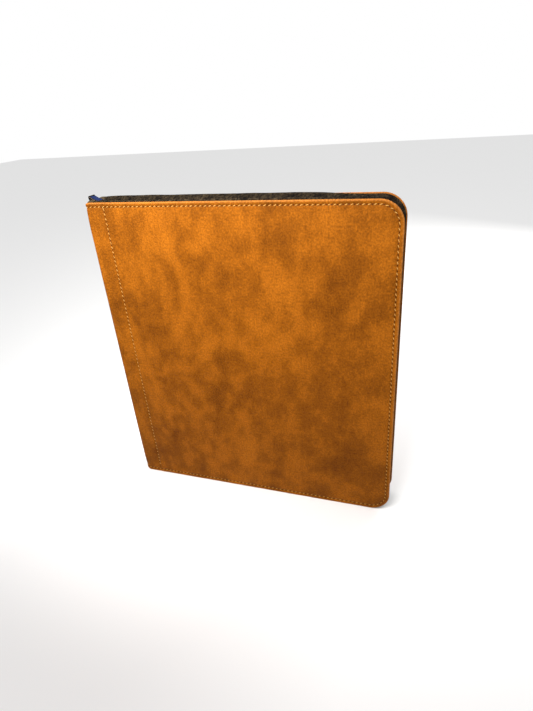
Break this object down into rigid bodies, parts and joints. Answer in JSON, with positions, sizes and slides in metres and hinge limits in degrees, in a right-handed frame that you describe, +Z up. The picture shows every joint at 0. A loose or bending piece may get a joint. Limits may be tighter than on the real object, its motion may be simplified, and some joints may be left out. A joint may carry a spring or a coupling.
{
  "type": "trading card binder",
  "caption": "Zip-around tan leather card binder with stitched covers, a coil zip on three sides and side-loading pages of clear card pockets.",
  "frame": {"origin": "middle of the closed binder's bottom, on the surface that it stands on", "axes": "+Z up along the spine, +X from the spine to the fore-edge, +Y from the front cover to the back cover"},
  "size_m": [0.2932, 0.03, 0.3245],
  "materials": {
    "tan_leather": "mottled tan imitation leather with a fine grain and a soft sheen",
    "tan_thread": "light tan sewing thread",
    "grey_board": "grey fibreboard",
    "lining_cloth": "matt black woven lining",
    "zip_tape": "brown-black herringbone tape",
    "zip_coil": "black nylon coil",
    "slider_metal": "dark painted die-cast metal",
    "blue_ribbon": "blue woven ribbon with black edges",
    "page_sheet": "black polypropylene backing sheet",
    "pocket_film": "clear pocket film with welded seams"
  },
  "bodies": {
    "back_cover": {"back_skin": "tan_leather", "back_board": "grey_board", "back_lining": "lining_cloth", "back_stitching": "tan_thread", "back_zip_tape": "zip_tape", "back_zip_coil": "zip_coil", "zip_end_tabs": "lining_cloth"},
    "spine": {"spine_skin": "tan_leather", "spine_board": "grey_board", "spine_lining": "lining_cloth", "page_binding": "lining_cloth"},
    "front_cover": {"front_skin": "tan_leather", "front_board": "grey_board", "front_lining": "lining_cloth", "front_stitching": "tan_thread", "front_zip_tape": "zip_tape", "front_zip_coil": "zip_coil"},
    "page_01": {"page_01_sheet": "page_sheet", "page_01_pockets": "pocket_film"},
    "page_02": {"page_02_sheet": "page_sheet", "page_02_pockets": "pocket_film"},
    "page_03": {"page_03_sheet": "page_sheet", "page_03_pockets": "pocket_film"},
    "page_04": {"page_04_sheet": "page_sheet", "page_04_pockets": "pocket_film"},
    "page_05": {"page_05_sheet": "page_sheet", "page_05_pockets": "pocket_film"},
    "page_06": {"page_06_sheet": "page_sheet", "page_06_pockets": "pocket_film"},
    "page_07": {"page_07_sheet": "page_sheet", "page_07_pockets": "pocket_film"},
    "page_08": {"page_08_sheet": "page_sheet", "page_08_pockets": "pocket_film"},
    "page_09": {"page_09_sheet": "page_sheet", "page_09_pockets": "pocket_film"},
    "page_10": {"page_10_sheet": "page_sheet", "page_10_pockets": "pocket_film"},
    "page_11": {"page_11_sheet": "page_sheet", "page_11_pockets": "pocket_film"},
    "page_12": {"page_12_sheet": "page_sheet", "page_12_pockets": "pocket_film"},
    "page_13": {"page_13_sheet": "page_sheet", "page_13_pockets": "pocket_film"},
    "page_14": {"page_14_sheet": "page_sheet", "page_14_pockets": "pocket_film"},
    "page_15": {"page_15_sheet": "page_sheet", "page_15_pockets": "pocket_film"},
    "page_16": {"page_16_sheet": "page_sheet", "page_16_pockets": "pocket_film"},
    "page_17": {"page_17_sheet": "page_sheet", "page_17_pockets": "pocket_film"},
    "page_18": {"page_18_sheet": "page_sheet", "page_18_pockets": "pocket_film"},
    "page_19": {"page_19_sheet": "page_sheet", "page_19_pockets": "pocket_film"},
    "page_20": {"page_20_sheet": "page_sheet", "page_20_pockets": "pocket_film"},
    "slider": {"zip_slider": "slider_metal"},
    "pull": {"pull_ring": "slider_metal", "pull_tab": "blue_ribbon"}
  },
  "joints": [
    {"name": "spine_hinge", "type": "hinge", "parent": "back_cover", "child": "spine", "pos_m": [-0.1455, 0.015, 0.16], "axis": [0, 0, -1], "range_deg": [0, 90]},
    {"name": "front_hinge", "type": "hinge", "parent": "spine", "child": "front_cover", "pos_m": [-0.1455, -0.015, 0.16], "axis": [0, 0, -1], "range_deg": [0, 90]},
    {"name": "page_01_turn", "type": "hinge", "parent": "spine", "child": "page_01", "pos_m": [-0.136, -0.01045, 0.16], "axis": [0, 0, -1], "range_deg": [0, 81.83]},
    {"name": "page_02_turn", "type": "hinge", "parent": "spine", "child": "page_02", "pos_m": [-0.136, -0.00935, 0.16], "axis": [0, 0, -1], "range_deg": [0, 73.65]},
    {"name": "page_03_turn", "type": "hinge", "parent": "spine", "child": "page_03", "pos_m": [-0.136, -0.00825, 0.16], "axis": [0, 0, -1], "range_deg": [0, 65.47]},
    {"name": "page_04_turn", "type": "hinge", "parent": "spine", "child": "page_04", "pos_m": [-0.136, -0.00715, 0.16], "axis": [0, 0, -1], "range_deg": [0, 57.28]},
    {"name": "page_05_turn", "type": "hinge", "parent": "spine", "child": "page_05", "pos_m": [-0.136, -0.00605, 0.16], "axis": [0, 0, -1], "range_deg": [0, 49.1]},
    {"name": "page_06_turn", "type": "hinge", "parent": "spine", "child": "page_06", "pos_m": [-0.136, -0.00495, 0.16], "axis": [0, 0, -1], "range_deg": [0, 40.92]},
    {"name": "page_07_turn", "type": "hinge", "parent": "spine", "child": "page_07", "pos_m": [-0.136, -0.00385, 0.16], "axis": [0, 0, -1], "range_deg": [0, 32.74]},
    {"name": "page_08_turn", "type": "hinge", "parent": "spine", "child": "page_08", "pos_m": [-0.136, -0.00275, 0.16], "axis": [0, 0, -1], "range_deg": [0, 24.55]},
    {"name": "page_09_turn", "type": "hinge", "parent": "spine", "child": "page_09", "pos_m": [-0.136, -0.00165, 0.16], "axis": [0, 0, -1], "range_deg": [0, 16.37]},
    {"name": "page_10_turn", "type": "hinge", "parent": "spine", "child": "page_10", "pos_m": [-0.136, -0.00055, 0.16], "axis": [0, 0, -1], "range_deg": [0, 8.19]},
    {"name": "page_11_turn", "type": "hinge", "parent": "spine", "child": "page_11", "pos_m": [-0.136, 0.00055, 0.16], "axis": [0, 0, -1], "range_deg": [-8.19, 0]},
    {"name": "page_12_turn", "type": "hinge", "parent": "spine", "child": "page_12", "pos_m": [-0.136, 0.00165, 0.16], "axis": [0, 0, -1], "range_deg": [-16.37, 0]},
    {"name": "page_13_turn", "type": "hinge", "parent": "spine", "child": "page_13", "pos_m": [-0.136, 0.00275, 0.16], "axis": [0, 0, -1], "range_deg": [-24.55, 0]},
    {"name": "page_14_turn", "type": "hinge", "parent": "spine", "child": "page_14", "pos_m": [-0.136, 0.00385, 0.16], "axis": [0, 0, -1], "range_deg": [-32.74, 0]},
    {"name": "page_15_turn", "type": "hinge", "parent": "spine", "child": "page_15", "pos_m": [-0.136, 0.00495, 0.16], "axis": [0, 0, -1], "range_deg": [-40.92, 0]},
    {"name": "page_16_turn", "type": "hinge", "parent": "spine", "child": "page_16", "pos_m": [-0.136, 0.00605, 0.16], "axis": [0, 0, -1], "range_deg": [-49.1, 0]},
    {"name": "page_17_turn", "type": "hinge", "parent": "spine", "child": "page_17", "pos_m": [-0.136, 0.00715, 0.16], "axis": [0, 0, -1], "range_deg": [-57.28, 0]},
    {"name": "page_18_turn", "type": "hinge", "parent": "spine", "child": "page_18", "pos_m": [-0.136, 0.00825, 0.16], "axis": [0, 0, -1], "range_deg": [-65.47, 0]},
    {"name": "page_19_turn", "type": "hinge", "parent": "spine", "child": "page_19", "pos_m": [-0.136, 0.00935, 0.16], "axis": [0, 0, -1], "range_deg": [-73.65, 0]},
    {"name": "page_20_turn", "type": "hinge", "parent": "spine", "child": "page_20", "pos_m": [-0.136, 0.01045, 0.16], "axis": [0, 0, -1], "range_deg": [-81.83, 0]},
    {"name": "zip_slide", "type": "slide", "parent": "back_cover", "child": "slider", "axis": [1, 0, 0], "range_m": [0, 0.25]},
    {"name": "pull_swing", "type": "hinge", "parent": "slider", "child": "pull", "pos_m": [-0.133, 0, 0.318], "axis": [0, 1, 0], "range_deg": [0, 145]}
  ],
  "couplings": [
    {"joint": "page_01_turn", "follows": "front_hinge", "ratio": 0.90909},
    {"joint": "page_02_turn", "follows": "front_hinge", "ratio": 0.81818},
    {"joint": "page_03_turn", "follows": "front_hinge", "ratio": 0.72727},
    {"joint": "page_04_turn", "follows": "front_hinge", "ratio": 0.63636},
    {"joint": "page_05_turn", "follows": "front_hinge", "ratio": 0.54546},
    {"joint": "page_06_turn", "follows": "front_hinge", "ratio": 0.45454},
    {"joint": "page_07_turn", "follows": "front_hinge", "ratio": 0.36364},
    {"joint": "page_08_turn", "follows": "front_hinge", "ratio": 0.27273},
    {"joint": "page_09_turn", "follows": "front_hinge", "ratio": 0.18182},
    {"joint": "page_10_turn", "follows": "front_hinge", "ratio": 0.090909},
    {"joint": "page_11_turn", "follows": "spine_hinge", "ratio": -0.090909},
    {"joint": "page_12_turn", "follows": "spine_hinge", "ratio": -0.18182},
    {"joint": "page_13_turn", "follows": "spine_hinge", "ratio": -0.27273},
    {"joint": "page_14_turn", "follows": "spine_hinge", "ratio": -0.36364},
    {"joint": "page_15_turn", "follows": "spine_hinge", "ratio": -0.45454},
    {"joint": "page_16_turn", "follows": "spine_hinge", "ratio": -0.54546},
    {"joint": "page_17_turn", "follows": "spine_hinge", "ratio": -0.63636},
    {"joint": "page_18_turn", "follows": "spine_hinge", "ratio": -0.72727},
    {"joint": "page_19_turn", "follows": "spine_hinge", "ratio": -0.81818},
    {"joint": "page_20_turn", "follows": "spine_hinge", "ratio": -0.90909}
  ]
}
